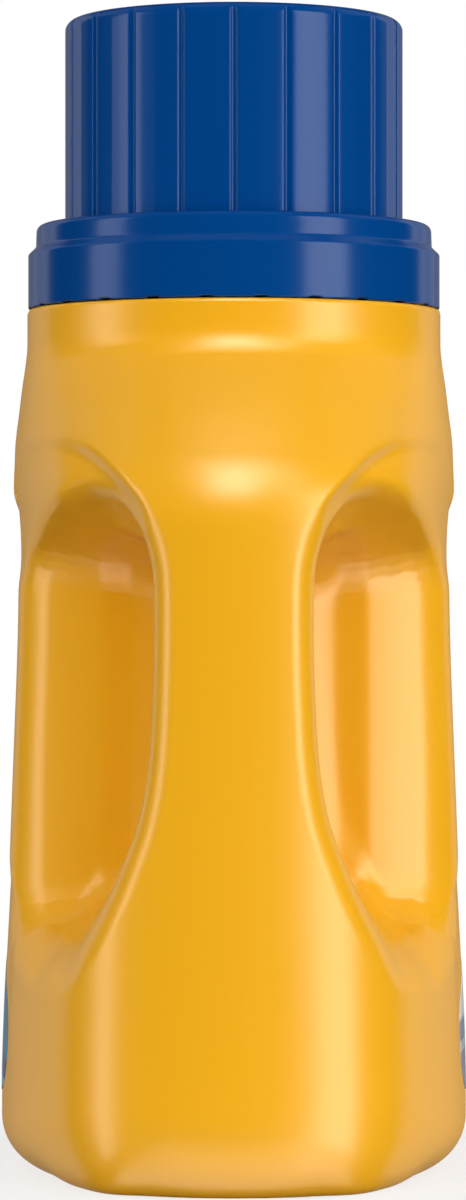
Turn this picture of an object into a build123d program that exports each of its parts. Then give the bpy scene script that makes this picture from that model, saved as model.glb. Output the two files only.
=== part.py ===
"""Detergent dispenser bottle: a blow-moulded bottle with a side handle, closed by a
snap-on collar, a self-draining pour spout and a screw-on dosing cap.

Frame: Z up, base plane at z = 0, neck axis on Z. The handle is on the -Y side,
the two label panels face -X (front) and +X (back). Units are millimetres.
"""

from build123d import *
import math
import os

# ---------------------------------------------------------------- driving dimensions
WALL = 1.15                # blow-moulded wall of the bottle
PUSH_UP = 1.0              # hollow of the base inside its standing ring
PUSH_UP_X, PUSH_UP_Y = 0.80, 0.84    # its outline as fractions of the base outline
FLOOR_BLEND_Z = 30.0       # the lift of the inside floor fades out by this height
CUT_X = 70.0               # extrusion length each way across the body

BAND_R, BAND_Z0 = 46.75, 182.6       # round band under the collar
NECK_Z = 193.0                       # shoulder land the collar stands on
NECK_R_OUT, NECK_R_IN, NECK_TOP = 37.0, 34.8, 205.6
BEAD_R = 38.5                        # snap bead on the neck

GASKET_GAP_R, GASKET_GAP_Z, GASKET_H = 0.1, 0.05, 0.75
GASKET_Z0 = NECK_TOP + GASKET_GAP_Z

COLLAR_R, COLLAR_R2 = 46.5, 44.55    # lower and upper ring of the collar
COLLAR_WALL = 1.7
COLLAR_Z0, COLLAR_TOP = NECK_Z + 0.15, 212.1
DECK_Z0, DECK_Z1 = 207.95, 209.4     # inner deck of the collar
NOTCHES, NOTCH_DEPTH = 24, 0.35

TURRET_R_IN, TURRET_R_OUT, TURRET_TOP = 32.0, 33.7, 225.2
SPOUT_R_IN, SPOUT_R_OUT, SPOUT_TOP = 16.1, 17.5, 244.4
FLANGE_R = 38.6                      # spout flange between gasket and deck
FLANGE_Z0 = GASKET_Z0 + GASKET_H + GASKET_GAP_Z
FLANGE_Z1 = DECK_Z0 - 0.05
SLOT_SIZE, SLOT_Y, SLOT_Z0, SLOT_H = 8.0, -17.0, 197.6, 30.0

CAP_R, CAP_Z0, CAP_TOP, CAP_ROUND = 38.2, 210.0, 258.4, 2.6
CAP_ROOF = 1.5
CAP_R_IN = CAP_R - 1.6
CAP_GROOVES, GROOVE_W, GROOVE_D = 20, 1.0, 0.55
GROOVE_FLOOR_W = 0.44

SEAL_R_IN, SEAL_R_OUT, SEAL_H, SEAL_GAP = 31.4, 34.9, 1.6, 0.1
SEAL_Z0 = TURRET_TOP + SEAL_GAP

CUP_R_IN, CUP_R_OUT, CUP_RIM_Z = 24.0, 25.2, 212.8
CUP_ROOF_Z0, CUP_ROOF_Z1 = 255.5, 256.7
CUP_FLANGE_Z0 = SEAL_Z0 + SEAL_H + SEAL_GAP
CUP_FLANGE_Z1 = CUP_FLANGE_Z0 + 1.4
SKIRT_R_IN, SKIRT_R_OUT, SKIRT_Z0 = 35.2, 36.3, 211.3
DOSE_LINES = (220.6, 230.6, 240.6)

# closure thread, one start
PITCH, THREAD_Z, THREAD_START = 5.0, 214.4, 10       # start bearing in degrees
THREAD_ROOT, THREAD_CREST, THREAD_SINK = 2.7, 1.3, 0.4
STEPS_PER_TURN = 12

LABEL_T, LABEL_GAP = 0.16, 0.08

# ---------------------------------------------------------------- bottle: body outline
# One half of the plan outline, handle end first: outward normal's bearing from -Y in
# degrees, then x and y. Both ends are blunt, and the sides taper towards the handle.
OUTLINE = [
    (0, 0.0, -78.0), (7, 10.0, -77.4), (14, 20.0, -75.7), (30, 27.0, -72.7),
    (45, 32.5, -68.3), (61, 37.0, -61.8), (68, 41.3, -53.0), (74, 45.1, -41.0),
    (80, 48.6, -25.0), (85, 51.0, -8.0), (90, 52.0, 8.0), (95, 51.5, 25.0),
    (102, 49.3, 41.0), (114, 45.2, 54.5), (129, 39.0, 65.0), (146, 30.0, 72.6),
    (162, 19.0, 76.8), (171, 9.5, 77.9), (180, 0.0, 78.0),
]
OUTLINE_X, OUTLINE_Y = 52.0, 78.0    # half sizes of that outline

# Height, half thickness. The broad faces step inward below 153.5 to the label panels.
THICKNESS = [
    (12.0, 53.0), (22.0, 52.8), (37.0, 52.3), (60.0, 51.5), (88.0, 50.55), (115.0, 49.4),
    (136.0, 48.5), (143.0, 48.3), (146.5, 48.5), (150.0, 49.6), (153.5, 50.2),
    (158.0, 50.15), (163.0, 49.85), (169.0, 49.25), (174.5, 48.4), (179.0, 47.5),
    (BAND_Z0, BAND_R),
]
BASE_X, BASE_X_H = 7.6, 12.0         # rounding of the base on the broad sides
BASE_Y, BASE_Y_H = 15.5, 19.0        # rounding of the base at the two ends
REACH = 78.0                         # half width, handle end and far end
KNEE_Z, KNEE_R = 141.8, 25.0         # where the shoulder knee starts, and its radius
KNEE_TURN = math.radians(45)
SLOPE_BULGE = 1.1                    # convexity of the slope above the knee
ROUNDING_Z = 139.0                   # the plan turns round from here to the band


def smooth(t):
    """Smooth step from 0 to 1."""
    t = min(1.0, max(0.0, t))
    return t * t * t * (t * (6 * t - 15) + 10)


def base_drop(z, depth, height):
    """How far a rounded base has come in at height z."""
    if z >= height:
        return 0.0
    # just short of a full quarter ellipse, so the base stays off the tangent
    t = (height - z) / height * 0.985
    return depth * (1 - math.sqrt(1 - t * t))


def thickness(z):
    """Half thickness at height z."""
    half = THICKNESS[0][1]
    for (z0, half0), (z1, half1) in zip(THICKNESS, THICKNESS[1:]):
        if z0 <= z <= z1:
            half = half0 + (half1 - half0) * (z - z0) / (z1 - z0)
    return half - base_drop(z, BASE_X, BASE_X_H)


def reach(z):
    """Half width at height z: upright, then a knee, then a slope to the band."""
    if z <= KNEE_Z:
        return REACH - base_drop(z, BASE_Y, BASE_Y_H)
    knee_top = KNEE_Z + KNEE_R * math.sin(KNEE_TURN)
    if z <= knee_top:
        return REACH - KNEE_R + math.sqrt(KNEE_R ** 2 - (z - KNEE_Z) ** 2)
    start = REACH - KNEE_R * (1 - math.cos(KNEE_TURN))
    t = (z - knee_top) / (BAND_Z0 - knee_top)
    return start + (BAND_R - start) * t + SLOPE_BULGE * math.sin(math.pi * t)


# Height, half thickness, half width, roundness (0 is the body outline, 1 a circle).
HEIGHTS = [
    0.0, 0.5, 1.6, 3.6, 6.8, 12.0, 19.0, 37.0, 60.0, 88.0, 115.0, 136.0, 143.0,
    146.5, 150.0, 153.5, 158.0, 163.0, 169.0, 174.5, 179.0, BAND_Z0,
]
STATIONS = [
    (z, thickness(z), reach(z), smooth((z - ROUNDING_Z) / (BAND_Z0 - ROUNDING_Z)))
    for z in HEIGHTS
]


def section(station, inset=0.0):
    """Closed plan outline at one height, moved inward along its normals by inset."""
    _, half_x, half_y, roundness = station
    half = []
    for bearing, x, y in OUTLINE:
        angle = math.radians(bearing)
        unit_x = (1 - roundness) * x / OUTLINE_X + roundness * math.sin(angle)
        unit_y = (1 - roundness) * y / OUTLINE_Y - roundness * math.cos(angle)
        half.append((unit_x * half_x, unit_y * half_y))
    loop = half + [(-x, y) for x, y in reversed(half[1:-1])]
    if not inset:
        return loop
    moved = []
    for i, (x, y) in enumerate(loop):
        before_x, before_y = loop[i - 1]
        after_x, after_y = loop[(i + 1) % len(loop)]
        run_x, run_y = after_x - before_x, after_y - before_y
        size = math.hypot(run_x, run_y)
        moved.append((x - inset * run_y / size, y + inset * run_x / size))
    return moved


def body_loft(inset=0.0, floor_lift=0.0):
    """Loft through all stations, moved inward by inset, its floor raised by floor_lift."""
    with BuildPart() as form:
        for station in STATIONS:
            z = station[0]
            lifted = z + floor_lift * max(0.0, 1.0 - z / FLOOR_BLEND_Z)
            with BuildSketch(Plane.XY.offset(lifted)):
                with BuildLine():
                    Spline(*section(station, inset), periodic=True)
                make_face()
        loft()
    return form.part


# ---------------------------------------------------------------- bottle: grip
GRIP_WALL = 2.4            # distance from the grip recess to the cavity, before rounding
GRIP_R = 3.5               # rounding where the grip meets the outside
GRIP_Y, GRIP_Z0, GRIP_Z1 = -28.0, 60.5, 136.8    # inner end of the grip

# Side recesses left and right of the handle column, joined by the finger opening: y, z.
RECESS = [(-110.0, 190.0), (GRIP_Y, GRIP_Z1), (GRIP_Y, GRIP_Z0), (-110.0, 22.0)]
OPENING = [(-54.0, 147.5), (GRIP_Y, GRIP_Z1), (GRIP_Y, GRIP_Z0), (-54.0, 53.5)]
RECESS_ROUND, OPENING_ROUND = 13, 10.5

# Edge of the handle column, bottom to top: x, z.
COLUMN_EDGE = [
    (39.0, 46.0), (35.2, 51.0), (30.0, 58.6), (24.2, 69.9), (20.2, 80.5), (17.9, 95.0),
    (17.0, 112.0), (17.0, 129.5), (18.4, 138.6), (21.8, 145.6), (28.0, 152.4),
    (36.0, 157.6),
]
# The region beside the column flares in height as it runs outward.
FLARE_X = (47, 60, 72)
FLARE_TOP, FLARE_BOTTOM, FLARE_END = 3, 3.5, 14
SIDE_LENGTH = 110          # extrusion towards -Y


def rounded_slab(outline, corners, radius, grow):
    """Slab across the body; only its corners furthest towards +Y are rounded."""
    with BuildPart() as slab:
        with BuildSketch(Plane.YZ):
            with BuildLine():
                Polyline(*outline, close=True)
            make_face()
            fillet(vertices().sort_by(Axis.X)[-corners:], radius)
            if grow:
                offset(amount=grow)
        extrude(amount=CUT_X, both=True)
    return slab.part


def column_sides(grow):
    """The two regions beside the handle column."""
    near, middle, far = FLARE_X
    with BuildPart() as sides:
        for sign in (-1, 1):
            edge = [(sign * (x - grow), z) for x, z in COLUMN_EDGE]
            bottom, top = edge[0][1], edge[-1][1]
            low, high = bottom - FLARE_END, top + FLARE_END
            with BuildSketch(Plane.XZ):
                with BuildLine():
                    Spline(*edge)
                    Polyline(
                        edge[-1], (sign * near, top + FLARE_TOP + grow),
                        (sign * middle, high), (sign * far, high),
                        (sign * far, low), (sign * middle, low),
                        (sign * near, bottom - FLARE_BOTTOM - grow), edge[0],
                    )
                make_face()
            extrude(amount=SIDE_LENGTH)
    return sides.part


def grip(grow):
    """Solid removed for the fingers; grow enlarges it."""
    recess = rounded_slab(RECESS, 2, RECESS_ROUND, grow)
    sides = column_sides(grow)
    opening = rounded_slab(OPENING, 4, OPENING_ROUND, grow)
    with BuildPart() as tool:
        add(recess)
        add(sides, mode=Mode.INTERSECT)
        add(opening)
    return tool.part


# ---------------------------------------------------------------- bottle
def make_cavity():
    """Inside of the body, its floor one wall above the push-up."""
    inside = body_loft(WALL, WALL + PUSH_UP)
    grip_clear = grip(GRIP_WALL)
    with BuildPart() as cavity:
        add(inside)
        add(grip_clear, mode=Mode.SUBTRACT)
    return cavity.part


def make_neck():
    """Band, shoulder land and neck with its snap bead."""
    with BuildPart() as neck:
        with BuildSketch(Plane.XZ):
            with BuildLine():
                Polyline(
                    (BAND_R - WALL, BAND_Z0 - 0.5), (BAND_R - 0.3, BAND_Z0 - 0.5),
                    (BAND_R, BAND_Z0 + 0.4), (BAND_R, NECK_Z - 0.9),
                    (BAND_R - 0.9, NECK_Z), (NECK_R_OUT, NECK_Z), (NECK_R_OUT, 201.0),
                    (BEAD_R, 201.6), (BEAD_R, 202.5), (NECK_R_OUT, 204.0),
                    (NECK_R_OUT, NECK_TOP), (NECK_R_IN, NECK_TOP),
                    (NECK_R_IN, NECK_Z - 2.0), (BAND_R - WALL, NECK_Z - 2.6), close=True,
                )
            make_face()
        revolve(axis=Axis.Z)
    return neck.part


def make_mouth():
    """Disc that opens the top of the body into the band."""
    with BuildPart() as mouth:
        with BuildSketch(Plane.XY.offset(BAND_Z0 - 0.8)):
            Circle(BAND_R - WALL)
        extrude(amount=1.5)
    return mouth.part


def make_bottle(body_form):
    """Hollow bottle body with its grip, neck and base."""
    grip_cut = grip(0)
    cavity = make_cavity()
    neck = make_neck()
    mouth = make_mouth()
    with BuildPart() as bottle:
        add(body_form)
        add(grip_cut, mode=Mode.SUBTRACT)
        # the long edges of the column and the rims of the two recesses are rounded
        column = [
            edge for edge in edges()
            if edge.length > 100 and edge.bounding_box().min.Y < -70
            and abs(edge.center().X) > 10
        ]
        rims = [
            edge for edge in edges()
            if abs(edge.center().X) > 35 and edge.length > 5
            and edge.geom_type != GeomType.LINE
            and edge.bounding_box().min.Z > 40 and edge.bounding_box().max.Z < 160
        ]
        fillet(column + rims, GRIP_R)
        add(cavity, mode=Mode.SUBTRACT)
        add(mouth, mode=Mode.SUBTRACT)
        add(neck)
        # shallow push-up in the base leaves a flat standing ring
        base = [(x * PUSH_UP_X, y * PUSH_UP_Y) for x, y in section(STATIONS[0])]
        with BuildSketch(Plane.XY):
            with BuildLine():
                Spline(*base, periodic=True)
            make_face()
        extrude(amount=PUSH_UP, mode=Mode.SUBTRACT)
    return bottle.part


# ---------------------------------------------------------------- closure thread
def thread(radius, height, z0, outward, turns):
    """Trapezoid thread lofted along a helix, its root sunk into the wall behind it."""
    side = 1 if outward else -1
    steps = round(turns * STEPS_PER_TURN)
    with BuildPart() as ridge:
        for i in range(steps + 1):
            bearing = THREAD_START + turns * 360 * i / steps
            cos, sin = math.cos(math.radians(bearing)), math.sin(math.radians(bearing))
            foot = (radius * cos, radius * sin, z0 + PITCH * bearing / 360)
            # the thread starts and ends on a short ramp
            tip = side * height * (0.35 if i in (0, steps) else 1.0)
            root = -side * THREAD_SINK
            with BuildSketch(Plane(origin=foot, x_dir=(cos, sin, 0), z_dir=(sin, -cos, 0))):
                with BuildLine():
                    Polyline(
                        (root, -THREAD_ROOT / 2), (tip, -THREAD_CREST / 2),
                        (tip, THREAD_CREST / 2), (root, THREAD_ROOT / 2), close=True,
                    )
                make_face()
        loft()
    return ridge.part


# ---------------------------------------------------------------- pour spout
def make_spout():
    """Threaded turret and pouring tube, joined by a trough."""
    turret_thread = thread(TURRET_R_OUT, height=1.2, z0=THREAD_Z, outward=True, turns=1.3)
    with BuildPart() as spout:
        with BuildSketch(Plane.XZ):
            with BuildLine():
                Polyline(
                    (34.6, 198.2), (34.6, FLANGE_Z0), (FLANGE_R, FLANGE_Z0),
                    (FLANGE_R, FLANGE_Z1), (TURRET_R_OUT, FLANGE_Z1),
                    (TURRET_R_OUT, TURRET_TOP), (TURRET_R_IN, TURRET_TOP),
                    (TURRET_R_IN, 207.0), (33.2, 205.2), (33.2, 199.5),
                    (SPOUT_R_OUT, 196.8), (SPOUT_R_OUT, SPOUT_TOP),
                    (SPOUT_R_IN, SPOUT_TOP), (SPOUT_R_IN, 194.2), (SPOUT_R_OUT, 195.2),
                    close=True,
                )
            make_face()
        revolve(axis=Axis.Z)
        # pouring lip: the tube is cut on a slope, low towards the handle
        with BuildSketch(Plane.YZ):
            with BuildLine():
                Polyline(
                    (14.5, 248.5), (10.5, 243.0), (-14.0, 225.1), (-22.0, 223.1),
                    (-22.0, 248.5), close=True,
                )
            make_face()
            fillet(vertices().group_by(Axis.X)[1], 6)
        extrude(amount=22, both=True, mode=Mode.SUBTRACT)
        # drain-back slot in the handle side of the tube, down to the trough
        with BuildSketch(Plane.XY.offset(SLOT_Z0)):
            with Locations((0, SLOT_Y)):
                Rectangle(SLOT_SIZE, SLOT_SIZE)
        extrude(amount=SLOT_H, mode=Mode.SUBTRACT)
        add(turret_thread)
    return spout.part


# ---------------------------------------------------------------- gasket and seal ring
def flat_ring(r_out, r_in, z0, height):
    """Flat ring on the neck axis."""
    with BuildPart() as ring:
        with BuildSketch(Plane.XY.offset(z0)):
            Circle(r_out)
            Circle(r_in, mode=Mode.SUBTRACT)
        extrude(amount=height)
    return ring.part


# ---------------------------------------------------------------- collar
def make_collar():
    """Two-step collar with an inner deck and a snap skirt."""
    with BuildPart() as collar:
        with BuildSketch(Plane.XZ):
            with BuildLine():
                Polyline(
                    # outside, upward
                    (COLLAR_R - COLLAR_WALL, COLLAR_Z0), (COLLAR_R - 0.3, COLLAR_Z0),
                    (COLLAR_R, COLLAR_Z0 + 0.3), (COLLAR_R, 205.0),
                    (COLLAR_R - 0.4, 205.6), (COLLAR_R2 + 0.2, 206.9),
                    (COLLAR_R2 - 0.05, 207.8), (COLLAR_R2, 209.6),
                    # rounded top edge
                    (COLLAR_R2 - 0.25, 210.9), (COLLAR_R2 - 0.9, 211.7),
                    (COLLAR_R2 - 2.0, COLLAR_TOP), (COLLAR_R2 - 3.0, 211.9),
                    (COLLAR_R2 - 3.6, 211.2),
                    # deck
                    (COLLAR_R2 - 3.7, DECK_Z1), (35.1, DECK_Z1), (35.1, DECK_Z0),
                    # snap skirt, hooked under the neck bead
                    (38.9, DECK_Z0), (38.9, 200.8), (37.6, 200.2), (37.6, 199.5),
                    (38.7, 198.7), (40.3, 198.7), (40.3, DECK_Z0 - 0.2),
                    # inside of the outer wall
                    (COLLAR_R2 - 2.2, DECK_Z0 - 0.2), (COLLAR_R2 - 1.9, 206.2),
                    (COLLAR_R - COLLAR_WALL, 204.6), close=True,
                )
            make_face()
        revolve(axis=Axis.Z)
        # notches round the lower edge
        with BuildSketch(Plane.XY.offset(COLLAR_Z0)):
            with PolarLocations(COLLAR_R - 0.8, NOTCHES, start_angle=7.5):
                Rectangle(4.0, 6.4)
        extrude(amount=NOTCH_DEPTH, mode=Mode.SUBTRACT)
    return collar.part


# ---------------------------------------------------------------- cap
def make_cap_shell():
    """Outer shell of the cap with its grip grooves."""
    ceiling = CAP_TOP - CAP_ROOF
    round_start = (CAP_R, CAP_TOP - CAP_ROUND)
    round_end = (CAP_R - CAP_ROUND, CAP_TOP)
    with BuildPart() as shell:
        with BuildSketch(Plane.XZ):
            with BuildLine():
                Polyline(
                    (0, ceiling), (CAP_R_IN - 4.2, ceiling),
                    (CAP_R_IN - 1.3, CAP_TOP - 2.9), (CAP_R_IN, CAP_TOP - 6.0),
                    (CAP_R_IN, 211.1), (CAP_R - 2.1, 210.8), (CAP_R - 2.1, 210.4),
                    (CAP_R - 1.7, CAP_Z0), (CAP_R - 0.35, CAP_Z0),
                    (CAP_R, CAP_Z0 + 0.35), round_start,
                )
                RadiusArc(round_start, round_end, -CAP_ROUND)
                Polyline(round_end, (0, CAP_TOP), (0, ceiling))
            make_face()
        revolve(axis=Axis.Z)
        # grip grooves; each runs out to a point where the top edge is rounded
        with BuildSketch(Plane.XY.offset(CAP_Z0 - 1)):
            with PolarLocations(CAP_R, CAP_GROOVES):
                with BuildLine():
                    Polyline(
                        (0.4, -GROOVE_W / 2), (-0.1, -GROOVE_W / 2),
                        (-GROOVE_D, -GROOVE_FLOOR_W / 2), (-GROOVE_D, GROOVE_FLOOR_W / 2),
                        (-0.1, GROOVE_W / 2), (0.4, GROOVE_W / 2), close=True,
                    )
                make_face()
        extrude(amount=CAP_TOP - CAP_Z0 + 2, mode=Mode.SUBTRACT)
    return shell.part


def make_measuring_cup():
    """Upturned cup inside the cap, with a flange and a threaded skirt round it."""
    cap_thread = thread(SKIRT_R_IN, height=1.1, z0=THREAD_Z - 2.3, outward=False, turns=1.0)
    with BuildPart() as cup:
        with BuildSketch(Plane.XZ):
            with BuildLine():
                Polyline(
                    (0, CUP_ROOF_Z1), (CUP_R_OUT - 1.6, CUP_ROOF_Z1),
                    (CUP_R_OUT, CUP_ROOF_Z1 - 1.6), (CUP_R_OUT, CUP_FLANGE_Z1),
                    (SKIRT_R_OUT, CUP_FLANGE_Z1), (SKIRT_R_OUT, SKIRT_Z0),
                    (SKIRT_R_IN, SKIRT_Z0), (SKIRT_R_IN, CUP_FLANGE_Z0),
                    (CUP_R_OUT, CUP_FLANGE_Z0), (CUP_R_OUT, CUP_RIM_Z),
                    (CUP_R_OUT - 0.6, CUP_RIM_Z - 0.6), (CUP_R_IN, CUP_RIM_Z),
                    (CUP_R_IN, CUP_ROOF_Z0 - 1.0), (CUP_R_IN - 1.0, CUP_ROOF_Z0),
                    (0, CUP_ROOF_Z0), close=True,
                )
            make_face()
        revolve(axis=Axis.Z)
        # dose lines inside the cup
        for z in DOSE_LINES:
            with BuildSketch(Plane.XZ):
                with BuildLine():
                    Polyline(
                        (CUP_R_IN + 0.2, z - 0.35), (CUP_R_IN - 0.25, z),
                        (CUP_R_IN + 0.2, z + 0.35), close=True,
                    )
                make_face()
            revolve(axis=Axis.Z)
        add(cap_thread)
    return cup.part


# ---------------------------------------------------------------- labels
# Closed outline of a label: y, z.
LABEL_OUTLINE = [
    (0.0, 17.4), (20.0, 17.3), (45.0, 17.4), (54.0, 20.0), (57.5, 28.0), (58.0, 45.0),
    (58.0, 80.0), (57.5, 118.0), (55.0, 131.0), (47.0, 137.3), (34.0, 138.2),
    (25.0, 137.4), (18.5, 132.0), (16.0, 121.0), (15.5, 100.0), (13.5, 78.0),
    (8.0, 59.0), (0.0, 48.6), (-8.5, 43.2), (-15.6, 37.0), (-17.4, 30.5),
    (-16.2, 23.5), (-10.5, 18.2),
]


def label_film(body_form, sign):
    """Thin film that follows the broad face on the sign side of X."""
    under = body_form.moved(Location((sign * LABEL_GAP, 0, 0)))
    over = body_form.moved(Location((sign * (LABEL_GAP + LABEL_T), 0, 0)))
    with BuildPart() as label:
        with BuildSketch(Plane.YZ):
            with BuildLine():
                Spline(*LABEL_OUTLINE, periodic=True)
            make_face()
        extrude(amount=sign * CUT_X)
        add(over, mode=Mode.INTERSECT)
        add(under, mode=Mode.SUBTRACT)
    return label.part


# ---------------------------------------------------------------- build and export
outer_form = body_loft()
pieces = {
    "bottle_body": make_bottle(outer_form),
    "front_label": label_film(outer_form, -1),
    "back_label": label_film(outer_form, 1),
    "neck_gasket": flat_ring(
        NECK_R_OUT - GASKET_GAP_R, NECK_R_IN + GASKET_GAP_R, GASKET_Z0, GASKET_H
    ),
    "pour_spout": make_spout(),
    "transition_collar": make_collar(),
    "cap_shell": make_cap_shell(),
    "measuring_cup": make_measuring_cup(),
    "cap_seal_ring": flat_ring(SEAL_R_OUT, SEAL_R_IN, SEAL_Z0, SEAL_H),
}

os.makedirs("parts", exist_ok=True)
for name, piece in pieces.items():
    piece.label = name
    export_step(piece, f"parts/{name}.step")
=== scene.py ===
"""A yellow detergent bottle with a blue collar and fluted cap, and a label on each broad face.

The bottle stands on z = 0 around the Z axis. The handle side is -Y, towards the camera. The
broad faces look along X: the front label is on -X and the back label on +X. Shapes are worked
out in millimetres; materials, lights and camera are in metres.
"""

import math

import bpy
import numpy as np
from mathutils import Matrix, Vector


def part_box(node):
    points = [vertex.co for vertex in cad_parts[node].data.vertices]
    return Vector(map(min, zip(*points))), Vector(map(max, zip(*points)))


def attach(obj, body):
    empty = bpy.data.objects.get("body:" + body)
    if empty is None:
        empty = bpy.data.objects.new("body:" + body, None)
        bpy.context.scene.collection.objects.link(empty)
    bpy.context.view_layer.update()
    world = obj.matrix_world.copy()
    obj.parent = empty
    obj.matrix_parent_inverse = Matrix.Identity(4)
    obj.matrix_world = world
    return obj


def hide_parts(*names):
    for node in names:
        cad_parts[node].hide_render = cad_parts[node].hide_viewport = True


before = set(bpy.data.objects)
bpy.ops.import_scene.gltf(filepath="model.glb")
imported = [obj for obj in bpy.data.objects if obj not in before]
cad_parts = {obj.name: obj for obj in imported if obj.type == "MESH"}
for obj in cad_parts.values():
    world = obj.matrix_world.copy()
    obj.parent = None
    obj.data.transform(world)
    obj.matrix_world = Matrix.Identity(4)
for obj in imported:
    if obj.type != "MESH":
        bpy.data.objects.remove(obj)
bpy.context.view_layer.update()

MM = 0.001
scene = bpy.context.scene

# ------------------------------------------------------------------ driving sizes, mm
(_, _, CAP_LOW), (CAP_R, _, CAP_TOP) = np.array(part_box("cap_shell"), float) / MM
(_, _, COLLAR_LOW), (COLLAR_R, _, COLLAR_TOP) = np.array(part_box("transition_collar"), float) / MM
NECK_Z = COLLAR_LOW - 0.12      # land the collar stands on
BAND_Z = NECK_Z - 10.2          # where the round band leaves the shoulder
BAND_R = 46.7
HALF_X, HALF_Y = 52.0, 78.0     # half sizes of the plan outline
KNEE_Z, KNEE_R = 141.8, 25.0    # where the upright ends bend in, seen along X
KNEE_TURN = math.radians(41.45)
GRID_STEP = 1.15
LABEL_LIFT, LABEL_GAP = 0.12, 0.01   # label's outer face and rim foot above the body

# z, half thickness along X
THICKNESS = [
    (-6, 52.4), (12.0, 52.3), (22.0, 52.3), (37.0, 52.1), (60.0, 51.25), (83.0, 50.35),
    (100.0, 49.7), (115.0, 49.15), (134.0, 48.8), (143.0, 48.95), (147.5, 49.3), (151.0, 49.6),
    (158.0, 49.5), (163.0, 49.3), (169.0, 48.6), (175.0, 47.9), (179.5, 47.25), (182.8, 46.7),
    (190.0, 44.4), (196.0, 42.0),
]
# z, sink of the label panel
PANEL_DEPTH = [(16, 0.0), (45, 0.55), (100, 1.2), (143, 1.85), (151, 1.9)]
# handle end of the plan: bearing of the normal from -Y in degrees, radius of curvature
PLAN_BEND = [
    (0, 52.0), (20, 52.0), (26, 46.0), (31, 29.0), (37, 27.0), (44, 31.0), (52, 32.0),
    (59, 33.0), (64, 95.0), (69, 190.0), (76, 160.0), (82, 80.0), (90, 50.0),
]
# far end of the plan: x, share of the way from the widest point to +Y
PLAN_FAR = [
    (51.2, 0.25), (48.9, 0.47), (44.9, 0.665), (38.8, 0.818), (29.8, 0.922),
    (19.0, 0.981), (9.5, 0.997), (0.0, 1.0),
]
# finger recess seen along X: y, z, corner radius
RECESS_CORNERS = [
    (-110.0, 205.0, 0), (-62.0, 163.0, 20), (-44.0, 146.3, 25), (-28.0, 136.3, 12),
    (-28.0, 59.5, 12), (-44.0, 53.5, 20), (-75.0, 36.5, 0), (-110.0, 17.0, 0),
]
# opening right through behind the column: y, z, corner radius
OPENING_CORNERS = [
    (-54.0, 150.0, 9), (-28.0, 136.3, 12), (-28.0, 59.5, 12), (-54.0, 52.0, 9),
]
# edge of the column, |x| and z, from the lower lip up and over the top of the recess
COLUMN_EDGE = [
    (46.0, 37.5), (42.0, 42.0), (38.6, 46.5), (35.2, 51.0), (31.9, 55.4), (27.0, 63.8),
    (24.2, 69.9), (20.4, 80.0), (18.1, 93.0), (17.1, 112.0), (17.0, 129.5), (18.0, 137.0),
    (20.0, 142.6), (23.0, 147.0), (26.6, 150.4), (30.8, 152.6), (35.6, 152.8),
    (40.2, 150.6), (44.0, 146.4), (47.0, 140.0), (49.5, 132.0), (53.0, 124.0),
]
# corners that close the column edge outside the bottle, |x| and z
COLUMN_OUTSIDE = [(90.0, 118.0), (90.0, 32.0), (52.0, 32.0)]
# outer line of the shallow flare above the recess, |x| and z
FLARE_EDGE = [
    (17.2, 120.0), (17.6, 132.0), (19.4, 144.6), (23.8, 151.6), (28.3, 156.5), (33.0, 159.6),
    (37.6, 161.0), (42.5, 161.3), (48.0, 159.0), (50.0, 140.0), (40.0, 120.0),
]
# label outline, y and z
LABEL_EDGE = [
    (0.0, 17.4), (20.0, 17.3), (45.0, 17.4), (54.0, 20.0), (57.5, 28.0), (58.0, 45.0),
    (58.0, 80.0), (57.5, 118.0), (55.0, 131.0), (47.0, 137.3), (34.0, 138.2),
    (25.0, 137.4), (18.5, 132.0), (16.0, 121.0), (15.5, 100.0), (13.5, 78.0),
    (8.0, 59.0), (0.0, 48.6), (-8.5, 43.2), (-15.6, 37.0), (-17.4, 30.5),
    (-16.2, 23.5), (-10.5, 18.2),
]
LABEL_CENTRE = np.array([26.0, 62.0])


# ------------------------------------------------------------------ curves and distances
def ramp(value, start, end):
    """Smooth step from 0 at start to 1 at end; end may lie below start."""
    t = np.clip((value - start) / (end - start), 0.0, 1.0)
    return t * t * t * (t * (6 * t - 15) + 10)


def spline(xs, ys):
    """Natural cubic spline through a table, as a function of an array."""
    xs, ys = np.asarray(xs, float), np.asarray(ys, float)
    count = len(xs)
    gap = np.diff(xs)
    matrix = np.zeros((count, count))
    right = np.zeros(count)
    matrix[0, 0] = matrix[-1, -1] = 1
    for i in range(1, count - 1):
        matrix[i, i - 1:i + 2] = gap[i - 1], 2 * (gap[i - 1] + gap[i]), gap[i]
        right[i] = 6 * ((ys[i + 1] - ys[i]) / gap[i] - (ys[i] - ys[i - 1]) / gap[i - 1])
    bend = np.linalg.solve(matrix, right)

    def curve(at):
        at = np.clip(at, xs[0], xs[-1])
        i = np.clip(np.searchsorted(xs, at, side="right") - 1, 0, count - 2)
        ahead, behind, width = xs[i + 1] - at, at - xs[i], gap[i]
        return (bend[i] * ahead**3 + bend[i + 1] * behind**3) / (6 * width) + (
            ys[i] / width - bend[i] * width / 6
        ) * ahead + (ys[i + 1] / width - bend[i + 1] * width / 6) * behind

    return curve


def closed_curve(points, count):
    """Points along a closed Catmull-Rom curve through points."""
    points = np.asarray(points, float)
    total = len(points)
    out = []
    for t in np.linspace(0, total, count, endpoint=False):
        i = int(t)
        f = t - i
        a, b, c, d = (points[(i + k) % total] for k in (-1, 0, 1, 2))
        out.append(0.5 * ((2 * b) + (c - a) * f + (2 * a - 5 * b + 4 * c - d) * f * f
                          + (3 * b - a - 3 * c + d) * f ** 3))
    return np.array(out)


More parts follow.
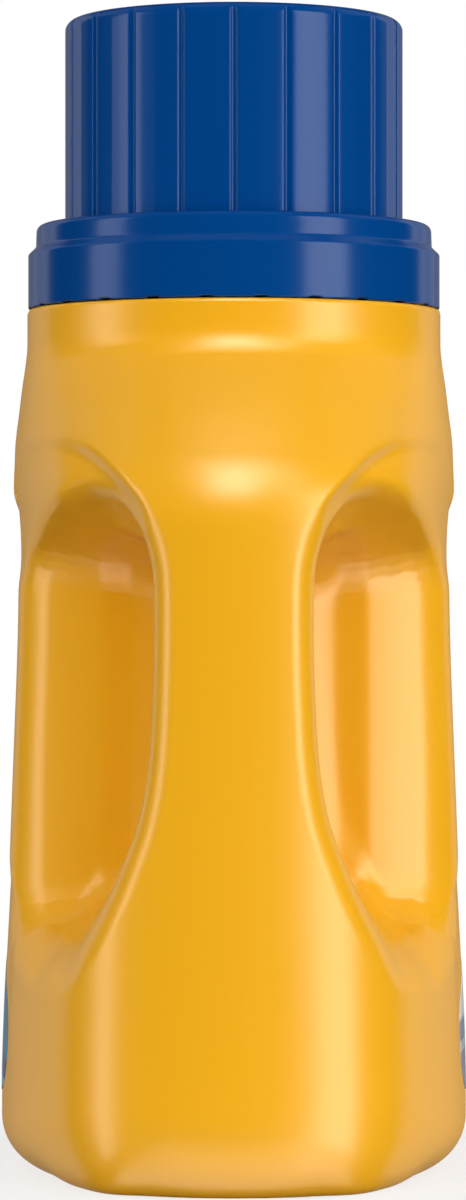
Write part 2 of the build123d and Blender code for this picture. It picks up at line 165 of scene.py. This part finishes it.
def corner_arc(before, corner, after, radius, count=None, step=None):
    """Arc that rounds a corner, as count points or at half of step or closer."""
    back, ahead = before - corner, after - corner
    back, ahead = back / np.linalg.norm(back), ahead / np.linalg.norm(ahead)
    half = math.acos(float(np.clip(back @ ahead, -1, 1))) / 2
    trim = radius / math.tan(half)
    middle = (back + ahead) / np.linalg.norm(back + ahead)
    centre = corner + middle * radius / math.sin(half)
    first, last = corner + back * trim - centre, corner + ahead * trim - centre
    if count is None:
        count = max(4, math.ceil(radius * (math.pi - 2 * half) / (step * 0.5))) + 1
    spokes = [first * (1 - t) + last * t for t in np.linspace(0, 1, count)]
    return [centre + spoke / np.linalg.norm(spoke) * radius for spoke in spokes]


def rounded_polygon(rows, arc_count):
    """Closed polygon from rows of two coordinates and a corner radius."""
    rows = np.array(rows, float)
    corners = rows[:, :2]
    out = []
    for i, radius in enumerate(rows[:, 2]):
        if radius <= 0:
            out.append(corners[i])
        else:
            after = corners[(i + 1) % len(corners)]
            out += corner_arc(corners[i - 1], corners[i], after, radius, count=arc_count)
    return np.array(out)


def rounded_path(rows, step):
    """Open (r, z) path from rows of r, z and corner radius, in pieces no longer than step."""
    rows = np.array(rows, float)
    corners = rows[:, :2]
    path = [corners[0]]
    for i in range(1, len(rows) - 1):
        radius = rows[i, 2]
        if radius <= 0:
            path.append(corners[i])
        else:
            path += corner_arc(corners[i - 1], corners[i], corners[i + 1], radius, step=step)
    path.append(corners[-1])
    out = [path[0]]
    for start, end in zip(path, path[1:]):
        pieces = max(1, math.ceil(np.linalg.norm(end - start) / step))
        out += [start + (end - start) * t for t in np.linspace(0, 1, pieces + 1)[1:]]
    return np.array(out)


def polygon_distance(across, up, corners):
    """Signed distance to a closed polygon, negative inside."""
    nearest = np.full(np.broadcast(across, up).shape, 1e18)
    sign = np.ones(nearest.shape)
    for corner, previous in zip(corners, np.roll(corners, 1, axis=0)):
        edge_a, edge_u = previous - corner
        from_a, from_u = across - corner[0], up - corner[1]
        t = np.clip((from_a * edge_a + from_u * edge_u) / (edge_a * edge_a + edge_u * edge_u),
                    0, 1)
        nearest = np.minimum(nearest, (from_a - edge_a * t) ** 2 + (from_u - edge_u * t) ** 2)
        above, below = up >= corner[1], up < previous[1]
        beside = edge_a * from_u > edge_u * from_a
        crossing = (above & below & beside) | (~above & ~below & ~beside)
        sign = np.where(crossing, -sign, sign)
    return sign * np.sqrt(nearest)


def round_max(a, b, radius):
    """Intersection with a rounded edge."""
    return np.minimum(np.maximum(a, b), -radius) + np.hypot(
        np.maximum(a + radius, 0), np.maximum(b + radius, 0)
    )


def round_min(a, b, radius):
    """Union with a filleted corner."""
    return -round_max(-a, -b, radius)


# ------------------------------------------------------------------ bottle form
def plan_outline():
    """Distance from the axis against bearing from -Y."""
    normal = np.radians(np.linspace(0.0, 90.0, 361))
    bend = np.interp(np.degrees(normal), *zip(*PLAN_BEND))
    step = normal[1] - normal[0]
    mid_bend = (bend[1:] + bend[:-1]) / 2
    mid_normal = (normal[1:] + normal[:-1]) / 2
    x = np.concatenate([[0.0], np.cumsum(mid_bend * np.cos(mid_normal)) * step])
    y = -HALF_Y + np.concatenate([[0.0], np.cumsum(mid_bend * np.sin(mid_normal)) * step])
    x = x * (HALF_X / x[-1])
    widest_y = y[-1]
    far_x, share = np.array(PLAN_FAR).T
    # every 12th point, 3 degrees of normal apart
    x = np.concatenate([x[::12], far_x])
    y = np.concatenate([y[::12], widest_y + (HALF_Y - widest_y) * share])
    return spline(np.arctan2(x, -y), np.hypot(x, y))


half_thick = spline(*zip(*THICKNESS))
outline = plan_outline()


def panel(y, z):
    """How far the label panel sinks into a broad face."""
    depth = np.interp(z, *zip(*PANEL_DEPTH))
    handle_edge = -24.0 + 12.0 * ramp(z, 50.0, 75.0)
    sides = ramp(y, handle_edge, handle_edge + 7.0) * ramp(y, 68.0, 60.0)
    return depth * ramp(z, 152.4, 144.0) * sides


def reach(z):
    """Half width along Y: upright, a knee, then a slope to the neck."""
    knee_top = KNEE_Z + KNEE_R * math.sin(KNEE_TURN)
    top_reach = HALF_Y - KNEE_R * (1 - math.cos(KNEE_TURN))
    knee = HALF_Y - KNEE_R + np.sqrt(
        np.clip(KNEE_R * KNEE_R - np.clip(z - KNEE_Z, 0, KNEE_R) ** 2, 1e-6, None))
    t = (z - knee_top) / (BAND_Z - knee_top)
    bulge = 1.1 * np.sin(math.pi * np.clip(t, 0, 1))
    slope = top_reach + (BAND_R - top_reach) * t + bulge
    return np.where(z <= KNEE_Z, HALF_Y, np.where(z <= knee_top, knee, slope))


def side(x, y, z):
    """Side wall: the plan outline turning into an oval up the shoulder, 0 on the wall."""
    oval_share = ramp(z, 139.0, BAND_Z)
    plan_x = np.abs(x) * HALF_X / (half_thick(z) - panel(y, z))
    plan_y = y * HALF_Y / reach(z)
    turn = np.arctan2(plan_x, -plan_y)
    oval = 1 / np.hypot(np.sin(turn) / HALF_X, np.cos(turn) / HALF_Y)
    edge = (1 - oval_share) * outline(turn) + oval_share * oval
    return np.hypot(plan_x, plan_y) / edge - 1


def body_form(x, y, z):
    """Outer form of the bottle before the grip is cut, about a distance in mm."""
    step = 0.4
    slopes = [
        (side(x + dx, y + dy, z + dz) - side(x - dx, y - dy, z - dz)) / (2 * step)
        for dx, dy, dz in np.eye(3) * step
    ]
    wall = side(x, y, z) / np.maximum(np.sqrt(sum(slope * slope for slope in slopes)), 0.006)
    # rounded base, deeper at the two ends than on the broad faces
    end = ramp(np.abs(y), 18.0, 70.0)
    corner = ramp(np.abs(y), 28.0, 50.0) * ramp(np.abs(x), 16.0, 30.0)
    width, height = 11.6 - 3.0 * corner, 12.0 + 7.5 * end
    # hollow 1.3 deep under the base, inside a squarish oval
    oval = ((np.abs(x) / 42.0) ** 2.4 + (np.abs(y) / 60.0) ** 2.4) ** (1 / 2.4)
    lifted = z - 1.3 * ramp(oval, 0.88, 0.72)
    base = (
        np.hypot(np.maximum((wall + width) / width, 0),
                 np.maximum((height - lifted) / height, 0)) - 1
    ) * width
    wall = np.where(z < 30, np.maximum(base, -width), wall)
    wall = np.maximum(wall, z - (NECK_Z - 2.0))
    # round band under the collar
    rho = np.hypot(x, y)
    band = round_max(rho - BAND_R, z - NECK_Z, 0.9)
    band = np.maximum(band, 160.0 - z)
    fillet = 0.5 + 2.2 * (y / np.maximum(rho, 1.0)) ** 2
    return round_min(wall, band, fillet)


RECESS = rounded_polygon(RECESS_CORNERS, arc_count=6)
OPENING = rounded_polygon(OPENING_CORNERS, arc_count=5)
# 6 points to a span; the span that would close the curve is left out
COLUMN = np.vstack([closed_curve(COLUMN_EDGE, 6 * len(COLUMN_EDGE))[:-6], COLUMN_OUTSIDE])
FLARE = closed_curve(FLARE_EDGE, 8 * len(FLARE_EDGE))


def grip(x, y, z):
    """Space taken out for the fingers, negative inside. It opens outward, away from
    the middle plane: the ceiling rises, the floor falls and the far wall moves back."""
    out_x = np.sqrt(x * x + 36.0)
    upper = ramp(z, 80.0, 120.0)
    outer = ramp(y, -28.0, -48.0)
    lift = 0.20 * (out_x - 42.0)
    drop = 0.14 * (out_x - 29.0) + 0.12 * outer * (out_x - 33.0)
    bent_z = z - lift * upper + drop * (1 - upper)
    back = ramp(y, -52.0, -36.0)
    # the far wall follows an arc of radius 97 in plan
    arch = 97.0 - np.sqrt(97.0 ** 2 - np.minimum(x * x, 3600.0)) - 3.9
    bent_y = y - 0.05 * (out_x - 30.0) * (1 - back) - arch * back
    recess = polygon_distance(bent_y, bent_z, RECESS)
    opening = round_max(polygon_distance(bent_y, bent_z, OPENING), np.abs(x) - 27.0, 5.0)
    column = polygon_distance(np.abs(x), z, COLUMN)
    pocket = round_max(recess, column, 6.0 + 4.0 * ramp(z, 125.0, 145.0))
    return round_min(pocket, opening, 4.6)


def bottle(x, y, z):
    """Whole moulding, negative inside: the body less the flare and the grip."""
    x, y, z = np.broadcast_arrays(x, y, z)
    form = body_form(x, y, z)
    near = (y < -8.0) & (z > 28.0) & (z < 186.0) & (form < 6.0)
    if not near.any():
        return form
    x, y, z, cut = x[near], y[near], z[near], form[near]
    out_x = np.abs(x)
    # shallow flare between the recess and the shoulder, running out at its outer end
    depth = 2.6 * ramp(z, 136.0, 152.0) * ramp(out_x, 43.0, 28.0)
    flare = polygon_distance(out_x, z, FLARE)
    cut = round_max(cut, round_min(-flare, cut + depth, 2.0), 2.0)
    # the rim of the grip is rounder at its outer parts and low down
    rim = 4.8 + 1.0 * ramp(y, -58.0, -36.0) * ramp(out_x, 26.0, 36.0)
    rim = rim + 0.8 * ramp(z, 100.0, 60.0) * ramp(out_x, 30.0, 40.0)
    rim = rim + 1.5 * ramp(z, 60.0, 50.0) * ramp(out_x, 30.0, 38.0)
    form[near] = round_max(cut, -grip(x, y, z), rim)
    return form


# ------------------------------------------------------------------ surface from the form
def surface(step):
    """Closed quad mesh of the bottle: one vertex in each grid cell the surface crosses,
    one quad across each grid edge it crosses."""
    axes = [np.arange(low, high + step, step)
            for low, high in ((-56.0, 56.0), (-82.0, 82.0), (-3.0, 197.0))]
    x, y, z = np.meshgrid(*axes, indexing="ij", sparse=True)
    form = np.empty([len(axis) for axis in axes])
    for i in range(0, len(axes[0]), 16):
        slab = slice(i, i + 16)
        form[slab] = bottle(x[slab], y, z)
    inside = form < 0

    shape = tuple(n - 1 for n in form.shape)
    corners = [(a, b, c) for a in (0, 1) for b in (0, 1) for c in (0, 1)]
    count = np.zeros(shape, int)
    for corner in corners:
        count += inside[tuple(slice(a, n + a) for a, n in zip(corner, shape))]
    crossed = (count > 0) & (count < 8)
    cells = np.argwhere(crossed)
    index = -np.ones(shape, int)
    index[crossed] = np.arange(len(cells))

    # each vertex is the mean of the crossings on its cell's twelve edges
    total = np.zeros((len(cells), 3))
    hits = np.zeros(len(cells))
    for start in corners:
        for end in corners:
            way = np.subtract(end, start)
            if sorted(way) != [0, 0, 1]:
                continue
            form0 = form[tuple((cells + start).T)]
            form1 = form[tuple((cells + end).T)]
            cross = (form0 < 0) != (form1 < 0)
            t = np.where(cross, form0 / np.where(cross, form0 - form1, 1), 0)
            total += cross[:, None] * (start + t[:, None] * way)
            hits += cross
    points = [axis[0] for axis in axes] + (cells + total / hits[:, None]) * step

    quads = []
    for axis in range(3):
        low, high = [slice(None)] * 3, [slice(None)] * 3
        low[axis], high[axis] = slice(0, -1), slice(1, None)
        low_inside, high_inside = inside[tuple(low)], inside[tuple(high)]
        edges = np.nonzero(low_inside != high_inside)
        u, v = (axis + 1) % 3, (axis + 2) % 3
        keep = (edges[u] > 0) & (edges[v] > 0) & (edges[u] < shape[u]) & (edges[v] < shape[v])
        edges = [k[keep] for k in edges]
        ring = []
        for du, dv in ((1, 1), (0, 1), (0, 0), (1, 0)):
            cell = list(edges)
            cell[u], cell[v] = edges[u] - du, edges[v] - dv
            ring.append(index[tuple(cell)])
        ring = np.stack(ring, 1)
        flip = ~low_inside[tuple(edges)]
        ring[flip] = ring[flip][:, ::-1]
        quads.append(ring)
    return points, np.concatenate(quads)


def gradient(form, points, step=0.05):
    return np.stack([(form(*(points + d).T) - form(*(points - d).T)) / (2 * step)
                     for d in np.eye(3) * step], 1)


def settle(points, rounds=3):
    """Moves points onto the bottle's surface; returns points and outward normals."""
    for _ in range(rounds):
        form = bottle(*points.T)
        slope = gradient(bottle, points)
        square = np.maximum((slope * slope).sum(1), 1e-3)
        points = points - np.clip(form / square, -1.0, 1.0)[:, None] * slope
    slope = gradient(bottle, points)
    return points, slope / np.maximum(np.linalg.norm(slope, axis=1), 1e-9)[:, None]


def add_piece(name, verts, faces, material, rides, replaces, normals=None):
    """Smooth mesh object from vertices in mm, made known to the frame."""
    mesh = bpy.data.meshes.new(name)
    mesh.from_pydata((np.asarray(verts) * MM).tolist(), [], [list(map(int, f)) for f in faces])
    mesh.validate()
    mesh.update()
    mesh.shade_smooth()
    if normals is not None:
        mesh.normals_split_custom_set_from_vertices(normals.tolist())
    obj = bpy.data.objects.new(name, mesh)
    scene.collection.objects.link(obj)
    mesh.materials.append(material)
    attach(obj, rides)
    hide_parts(replaces)
    return obj


# ------------------------------------------------------------------ materials
class Shader:
    """A new material with its Principled node, and short ways to add nodes to it."""

    def __init__(self, name):
        self.material = bpy.data.materials.new(name)
        self.material.use_nodes = True
        self.tree = self.material.node_tree
        self.bsdf = self.tree.nodes["Principled BSDF"]
        self.coords = self.add("TexCoord").outputs["Object"]

    def add(self, kind):
        return self.tree.nodes.new("ShaderNode" + kind)

    def feed(self, socket, value):
        """Links a socket, or sets a number or an RGB colour."""
        if isinstance(value, bpy.types.NodeSocket):
            self.tree.links.new(value, socket)
        else:
            socket.default_value = (*value, 1.0) if isinstance(value, tuple) else value

    def set(self, **inputs):
        """Feeds the Principled node; Base_Color stands for Base Color."""
        for key, value in inputs.items():
            self.feed(self.bsdf.inputs[key.replace("_", " ")], value)

    def noise(self, scale, detail=2.0):
        node = self.add("TexNoise")
        node.inputs["Scale"].default_value = scale
        node.inputs["Detail"].default_value = detail
        self.feed(node.inputs["Vector"], self.coords)
        return node.outputs["Fac"]

    def remap(self, value, source=(0.0, 1.0), target=(0.0, 1.0)):
        node = self.add("MapRange")
        for key, number in zip(("From Min", "From Max", "To Min", "To Max"), source + target):
            node.inputs[key].default_value = number
        self.feed(node.inputs["Value"], value)
        return node.outputs["Result"]

    def bump(self, height, strength, distance=0.00002):
        node = self.add("Bump")
        node.inputs["Strength"].default_value = strength
        node.inputs["Distance"].default_value = distance
        self.feed(node.inputs["Height"], height)
        return node.outputs["Normal"]

    def mix(self, share, first, second):
        """Blend of two colours."""
        node = self.add("Mix")
        node.data_type = "RGBA"
        # sockets 6 and 7 are the colour pair, output 2 the colour
        for socket, value in ((0, share), (6, first), (7, second)):
            self.feed(node.inputs[socket], value)
        return node.outputs[2]

    def math(self, operation, first, second=0.0):
        node = self.add("Math")
        node.operation = operation
        self.feed(node.inputs[0], first)
        self.feed(node.inputs[1], second)
        return node.outputs[0]

    def mix_shaders(self, share, first, second):
        node = self.add("MixShader")
        for socket, value in zip(node.inputs, (share, first.outputs[0], second.outputs[0])):
            self.feed(socket, value)
        return node


def plastic(name, color, deep, roughness, grain=900.0, shine=0.5):
    """Finely grained plastic, clouded between two close colours."""
    shader = Shader(name)
    cloud = shader.remap(shader.noise(scale=14.0, detail=3.0))
    spread = (roughness - 0.04, roughness + 0.04)
    shader.set(
        Base_Color=shader.mix(cloud, color, deep),
        Roughness=shader.remap(shader.noise(scale=22.0), target=spread),
        Normal=shader.bump(shader.noise(scale=grain), strength=0.2),
        IOR=1.5,
        Specular_IOR_Level=shine,
    )
    return shader.material


def label_material(name, middle, top, bottom, stripe, line_z, tilt):
    """Print that fades from middle to top, over a bottom field with a stripe in it. The
    wavy line between the fields lies at line_z and falls towards +Y by tilt."""
    shader = Shader(name)
    split = shader.add("SeparateXYZ")
    shader.feed(split.inputs[0], shader.coords)
    y, z = split.outputs["Y"], split.outputs["Z"]
    sine = shader.math("SINE", shader.math("MULTIPLY", y, 38.0))
    wave = shader.math("MULTIPLY", sine, 0.006)
    sloped = shader.math("ADD", z, shader.math("MULTIPLY", y, tilt))
    level = shader.math("SUBTRACT", sloped, wave)
    fade = shader.remap(z, source=(line_z, 0.135))
    color = shader.mix(fade, middle, top)
    below = shader.remap(level, source=(line_z - 0.0006, line_z + 0.0006), target=(1.0, 0.0))
    color = shader.mix(below, color, bottom)
    # the stripe's centre runs 6 mm under the line
    from_stripe = shader.math("ABSOLUTE", shader.math("SUBTRACT", level, line_z - 0.006))
    in_stripe = shader.remap(from_stripe, source=(0.0009, 0.0014), target=(0.75, 0.0))
    shader.set(
        Base_Color=shader.mix(in_stripe, color, stripe),
        Roughness=shader.remap(shader.noise(scale=60.0), source=(0.3, 0.7), target=(0.20, 0.26)),
        Normal=shader.bump(shader.noise(scale=320.0), strength=0.15),
        Coat_Weight=0.25,
        Coat_Roughness=0.12,
    )
    return shader.material


def floor_material():
    """Pale floor. To the camera it brightens to plain white away from the object; only
    its part close by throws light back onto the object."""
    shader = Shader("floor_pale")
    pale = shader.mix(shader.noise(scale=1.5), (0.90, 0.90, 0.90), (0.92, 0.92, 0.92))
    shader.set(Base_Color=pale, Roughness=0.9, Specular_IOR_Level=0.0)
    distance = shader.add("VectorMath")
    distance.operation = "LENGTH"
    shader.feed(distance.inputs[0], shader.coords)
    distance = distance.outputs["Value"]
    path = shader.add("LightPath")
    glow = shader.add("Emission")
    dark = shader.add("Emission")
    dark.inputs["Strength"].default_value = 0.0
    glow_share = shader.remap(distance, source=(0.085, 0.16), target=(0.75, 1.0))
    dark_share = shader.remap(distance, source=(0.06, 0.20), target=(0.75, 1.0))
    seen = shader.mix_shaders(glow_share, shader.bsdf, glow)
    bounced = shader.mix_shaders(dark_share, shader.bsdf, dark)
    both = shader.mix_shaders(path.outputs["Is Camera Ray"], bounced, seen)
    shader.feed(shader.tree.nodes["Material Output"].inputs["Surface"], both.outputs[0])
    shader.material.cycles.emission_sampling = "NONE"
    return shader.material


BODY_MAT = plastic("hdpe_yellow", color=(0.885, 0.427, 0.0088), deep=(0.875, 0.419, 0.0082),
                   roughness=0.305)
BLUE_MAT = plastic("closure_blue", color=(0.0004, 0.053, 0.235), deep=(0.0004, 0.051, 0.226),
                   roughness=0.19, shine=0.20)
FOAM_MAT = plastic("seal_foam", color=(0.72, 0.72, 0.68), deep=(0.66, 0.66, 0.62),
                   roughness=0.7, grain=2500.0)

# ------------------------------------------------------------------ bottle body
points, quads = surface(GRID_STEP)
points, normals = settle(points)
body = add_piece("bottle_moulding", points, quads, BODY_MAT, rides="bottle",
                 replaces="bottle_body", normals=normals)


# ------------------------------------------------------------------ labels
def label_piece(name, side_sign, material, replaces):
    """Film laid on a broad face: rings of quads about a centre, and a rim down to the body."""
    around, rings = ((420, 60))
    spokes = closed_curve(LABEL_EDGE, around) - LABEL_CENTRE
    flat = [LABEL_CENTRE[None, :]]
    flat += [LABEL_CENTRE + spokes * (i / rings) for i in range(1, rings + 1)]
    y, z = np.concatenate(flat).T
    # halve the span 40 times to find the face's x
    low, high = np.full(len(y), 20.0), np.full(len(y), 60.0)
    for _ in range(40):
        middle = (low + high) / 2
        outside = body_form(middle, y, z) > 0
        high = np.where(outside, middle, high)
        low = np.where(outside, low, middle)
    points = np.stack([(low + high) / 2, y, z], 1)
    normal = gradient(body_form, points)
    normal /= np.linalg.norm(normal, axis=1)[:, None]
    rim_foot = (points + normal * LABEL_GAP)[-around:]
    verts = np.concatenate([points + normal * LABEL_LIFT, rim_foot])
    ring = np.arange(around)
    ahead = (ring + 1) % around
    faces = [(0, 1 + a, 1 + b) for a, b in zip(ring, ahead)]
    # the last ring of quads is the rim
    for i in range(rings):
        inner, outer = 1 + i * around, 1 + (i + 1) * around
        faces += zip(inner + ring, outer + ring, outer + ahead, inner + ahead)
    verts[:, 0] *= side_sign
    if side_sign < 0:
        faces = [face[::-1] for face in faces]
    add_piece(name, verts, faces, material, rides="bottle", replaces=replaces)


FRONT_MAT = label_material(
    "label_front_print", middle=(0.012, 0.19, 0.30), top=(0.03, 0.30, 0.45),
    bottom=(0.002, 0.05, 0.19), stripe=(0.35, 0.55, 0.75), line_z=0.0275, tilt=0.05)
BACK_MAT = label_material(
    "label_back_print", middle=(0.78, 0.80, 0.82), top=(0.82, 0.83, 0.85),
    bottom=(0.22, 0.25, 0.36), stripe=(0.55, 0.58, 0.66), line_z=0.0355, tilt=0.12)
label_piece("front_label_film", -1, FRONT_MAT, "front_label")
label_piece("back_label_film", 1, BACK_MAT, "back_label")


# ------------------------------------------------------------------ cap and collar
def turned(profile, around, shape):
    """Quads turned about Z from (r, z) points; shape(theta, r, z) bends them. Theta 0
    faces the handle side."""
    theta = np.linspace(0, 2 * math.pi, around, endpoint=False)
    r, z = shape(theta, *(np.repeat(column[:, None], around, 1) for column in profile.T))
    verts = np.stack([r * np.sin(theta), -r * np.cos(theta), z], -1).reshape(-1, 3)
    ring = np.arange(around)
    ahead = (ring + 1) % around
    faces = []
    for i in range(len(profile) - 1):
        low, high = i * around, (i + 1) * around
        faces.append(np.stack([low + ring, low + ahead, high + ahead, high + ring], 1))
    return verts, np.concatenate(faces)


def add_cap():
    grooves, wall, roof = 20, 1.6, 4.0
    pitch = 2 * math.pi / grooves

    def flute(theta, r, z):
        """Narrow grooves with slightly flattened panels between them."""
        turn = np.abs((theta + pitch / 2) % pitch - pitch / 2)
        arc = turn * CAP_R
        groove = 0.62 * np.exp(-((arc / 0.62) ** 4)) + 0.10 * np.exp(-((arc / 1.5) ** 2))
        across = turn / (pitch / 2)
        flat = 0.252 * across * across * (1 - across)
        fluted = (r > CAP_R - 1.2) | (z > CAP_TOP - 6.5)
        return np.where(fluted, np.minimum(r, CAP_R - groove - flat), r), z

    # r, z, corner radius: over the dished top, down the outside and up the inside
    profile = rounded_path([
        (0.001, CAP_TOP - 0.55, 0), (CAP_R - 9.0, CAP_TOP - 0.25, 6.0),
        (CAP_R - 6.0, CAP_TOP, 0), (CAP_R, CAP_TOP, 2.6), (CAP_R, CAP_LOW, 0.45),
        (CAP_R - wall, CAP_LOW, 0.3), (CAP_R - wall, CAP_TOP - roof, 2.0),
        (0.001, CAP_TOP - roof, 0),
    ], step=0.8)
    verts, faces = turned(profile, grooves * (44), flute)
    add_piece("cap_fluted_shell", verts, faces[:, ::-1], BLUE_MAT, rides="cap",
              replaces="cap_shell")


def add_collar():
    notches = 24
    pitch = 2 * math.pi / notches
    low, top = COLLAR_LOW, COLLAR_TOP
    inner_r = COLLAR_R - 1.8
    upper_r = COLLAR_R - 1.9
    lip_r = upper_r - 3.7
    bore_r = 36.0

    def notch(theta, r, z):
        """Shallow notches in the lower edge."""
        arc = np.abs(theta % pitch - pitch / 2) * COLLAR_R
        depth = 0.28 * ramp(arc, 1.7, 1.2) * ramp(z, low + 0.6, low)
        return r, z + depth * (r > COLLAR_R - 2.6)

    # r, z, corner radius: down the inside, up the outside and back in over the top
    profile = rounded_path([
        (inner_r, low + 2.0, 0), (inner_r, low, 0.2), (COLLAR_R, low, 0.35),
        (COLLAR_R, low + 12.2, 0.7), (upper_r + 0.15, low + 13.9, 0.9), (upper_r, top, 1.6),
        (lip_r, top, 0.9), (lip_r, top - 2.9, 0.4), (bore_r, top - 2.9, 0.3),
        (bore_r, top - 4.1, 0.3), (upper_r - 2.2, top - 4.1, 0.5),
        (inner_r, low + 10.5, 0.5), (inner_r, low + 2.0, 0),
    ], step=0.6)
    verts, faces = turned(profile, notches * (40), notch)
    add_piece("collar_ring", verts, faces, BLUE_MAT, rides="bottle",
              replaces="transition_collar")


add_cap()
add_collar()

# ------------------------------------------------------------------ pieces kept from the frame
for node, material in (("pour_spout", BLUE_MAT), ("measuring_cup", BLUE_MAT),
                       ("neck_gasket", FOAM_MAT), ("cap_seal_ring", FOAM_MAT)):
    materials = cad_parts[node].data.materials
    materials.clear()
    materials.append(material)


# ------------------------------------------------------------------ stage
def add_floor():
    mesh = bpy.data.meshes.new("floor")
    mesh.from_pydata([(-6, -3, 0), (6, -3, 0), (6, 8, 0), (-6, 8, 0)], [], [(0, 1, 2, 3)])
    floor = bpy.data.objects.new("floor", mesh)
    scene.collection.objects.link(floor)
    mesh.materials.append(floor_material())
    floor.visible_glossy = False
    floor.visible_shadow = False


def direction(azimuth, elevation):
    """Unit vector towards a light; azimuth 0 is at the camera, positive to its right."""
    a, e = math.radians(azimuth), math.radians(elevation)
    return Vector((math.sin(a) * math.cos(e), -math.cos(a) * math.cos(e), math.sin(e)))


def softbox(name, azimuth, elevation, distance, width, height, radiance, body_only=False):
    """Area light aimed at the bottle's middle, seen only in reflections. radiance is
    what a mirror would show of it."""
    light = bpy.data.lights.new(name, "AREA")
    light.shape = "RECTANGLE"
    light.size, light.size_y = width, height
    light.energy = radiance * math.pi * width * height
    obj = bpy.data.objects.new(name, light)
    centre = Vector((0, 0, 0.14))
    obj.location = centre + distance * direction(azimuth, elevation)
    obj.rotation_euler = (centre - obj.location).to_track_quat("-Z", "Y").to_euler()
    obj.visible_diffuse = False
    scene.collection.objects.link(obj)
    if body_only:
        group = bpy.data.collections.new(name + "_receivers")
        group.objects.link(body)
        obj.light_linking.receiver_collection = group


def strip(name, start, end, radiance, distance=1.4, height=1.9):
    """Upright softbox that spans two azimuths."""
    half = math.radians(abs(end - start) / 2)
    softbox(name, (start + end) / 2, 0, distance, 2 * distance * math.tan(half), height,
            radiance)


def fill(name, azimuth, elevation, strength, angle=80.0):
    """Very soft distant light that adds no mirror image of itself."""
    light = bpy.data.lights.new(name, "SUN")
    light.energy = strength * math.pi
    light.angle = math.radians(angle)
    light.cycles.use_multiple_importance_sampling = False
    obj = bpy.data.objects.new(name, light)
    obj.rotation_euler = direction(azimuth, elevation).to_track_quat("Z", "Y").to_euler()
    obj.visible_glossy = False
    scene.collection.objects.link(obj)


# name, start and end azimuth, radiance
STRIPS = [
    ("key_right", 39, 65, 6.0),
    ("side_left", -85, -65, 4.0),
    ("rim_right_front", 124, 133, 1.0),
    ("rim_left_front", -133, -124, 1.0),
    ("rim_right", 133, 150, 0.52),
    ("rim_left", -150, -133, 0.52),
    ("rim_right_far", 150, 175, 0.24),
    ("rim_left_far", -175, -150, 0.24),
]
# name, azimuth, elevation, distance, width, height, radiance, lights the body only
SOFTBOXES = [
    ("high_right", 108, 48, 1.3, 0.9, 0.7, 0.45, False),
    ("high_left", -108, 48, 1.3, 0.9, 0.7, 0.5, False),
    ("top", 0, 86, 1.2, 0.9, 0.9, 0.35, False),
    ("key_low", 52, -42, 1.4, 0.45, 0.7, 2.2, True),
    ("front_high", 0, 55, 1.2, 0.56, 1.0, 3.4, True),
    ("front_high_core", 0, 49, 1.1, 0.38, 0.55, 6.6, True),
    ("front_high_side", 33, 50, 1.2, 0.36, 0.60, 2.6, True),
    ("under", 0, -66, 1.2, 1.6, 1.3, 2.4, False),
]
# name, azimuth, elevation, strength
FILLS = [
    ("fill_right", 60, 15, 0.70),
    ("fill_left", -60, 15, 0.39),
    ("fill_front", 0, 15, 0.38),
    ("fill_top", 0, 75, 0.10),
    ("fill_back_right", 120, 15, 0.13),
    ("fill_back_left", -120, 15, 0.13),
    ("fill_low", 0, -35, 0.09),
]


def add_world():
    """White to the camera, dark to everything else."""
    world = bpy.data.worlds.new("studio")
    scene.world = world
    world.use_nodes = True
    world.cycles.sampling_method = "NONE"
    tree = world.node_tree
    background = tree.nodes["Background"]
    background.inputs["Color"].default_value = (1, 1, 1, 1)
    path = tree.nodes.new("ShaderNodeLightPath")
    tree.links.new(path.outputs["Is Camera Ray"], background.inputs["Strength"])


def add_camera():
    """Level camera on the handle side, looking along +Y."""
    data = bpy.data.cameras.new("camera")
    camera = bpy.data.objects.new("camera", data)
    camera.location = (0, -1.100, 0.123)
    camera.rotation_euler = (math.radians(90), 0, 0)
    data.sensor_width = 36.0
    data.lens = 145.8
    data.shift_x = -0.00075
    data.shift_y = 0.0166667
    data.clip_start = 0.01
    scene.collection.objects.link(camera)
    scene.camera = camera


add_floor()
for row in STRIPS:
    strip(*row)
for row in SOFTBOXES:
    softbox(*row)
for row in FILLS:
    fill(*row)
add_world()
scene.view_settings.view_transform = "Standard"
add_camera()

bpy.context.view_layer.update()
